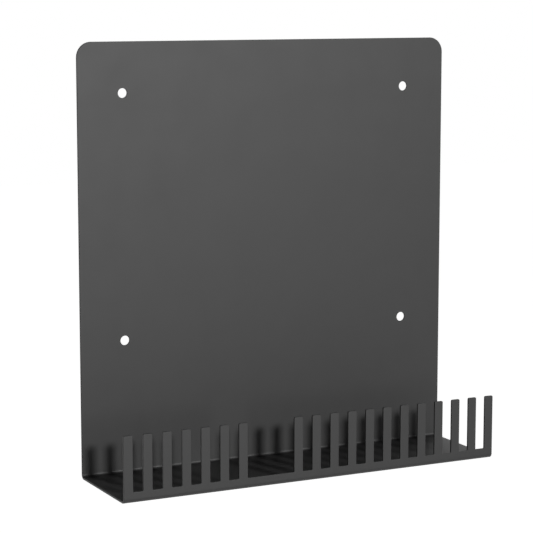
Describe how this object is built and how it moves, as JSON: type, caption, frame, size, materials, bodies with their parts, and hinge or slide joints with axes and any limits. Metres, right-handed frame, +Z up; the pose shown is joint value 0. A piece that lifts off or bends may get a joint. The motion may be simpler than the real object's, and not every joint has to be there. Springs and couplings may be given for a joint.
{
  "type": "wall-mounted record rack",
  "caption": "Wall-mounted rack for record sleeves: folded sheet-metal back panel with rounded top corners, shallow shelf and a front lip of upright bars in two groups on a low rail.",
  "frame": {"origin": "centre of the four wall holes, on the wall side of the back panel", "axes": "+Z up, +X to the right seen from the room, +Y into the wall; the shelf stands out towards -Y"},
  "size_m": [0.3, 0.08, 0.3141],
  "materials": {
    "powder_coat": "satin black powder coat, smooth"
  },
  "bodies": {
    "root": {"back_panel": "powder_coat", "rear_fold": "powder_coat", "shelf": "powder_coat", "front_fold": "powder_coat", "lip_rail": "powder_coat", "lip_bar_01": "powder_coat", "lip_bar_02": "powder_coat", "lip_bar_03": "powder_coat", "lip_bar_04": "powder_coat", "lip_bar_05": "powder_coat", "lip_bar_06": "powder_coat", "lip_bar_07": "powder_coat", "lip_bar_08": "powder_coat", "lip_bar_09": "powder_coat", "lip_bar_10": "powder_coat", "lip_bar_11": "powder_coat", "lip_bar_12": "powder_coat", "lip_bar_13": "powder_coat", "lip_bar_14": "powder_coat", "lip_bar_15": "powder_coat", "lip_bar_16": "powder_coat", "lip_bar_17": "powder_coat", "lip_bar_18": "powder_coat", "lip_bar_19": "powder_coat"}
  },
  "joints": []
}
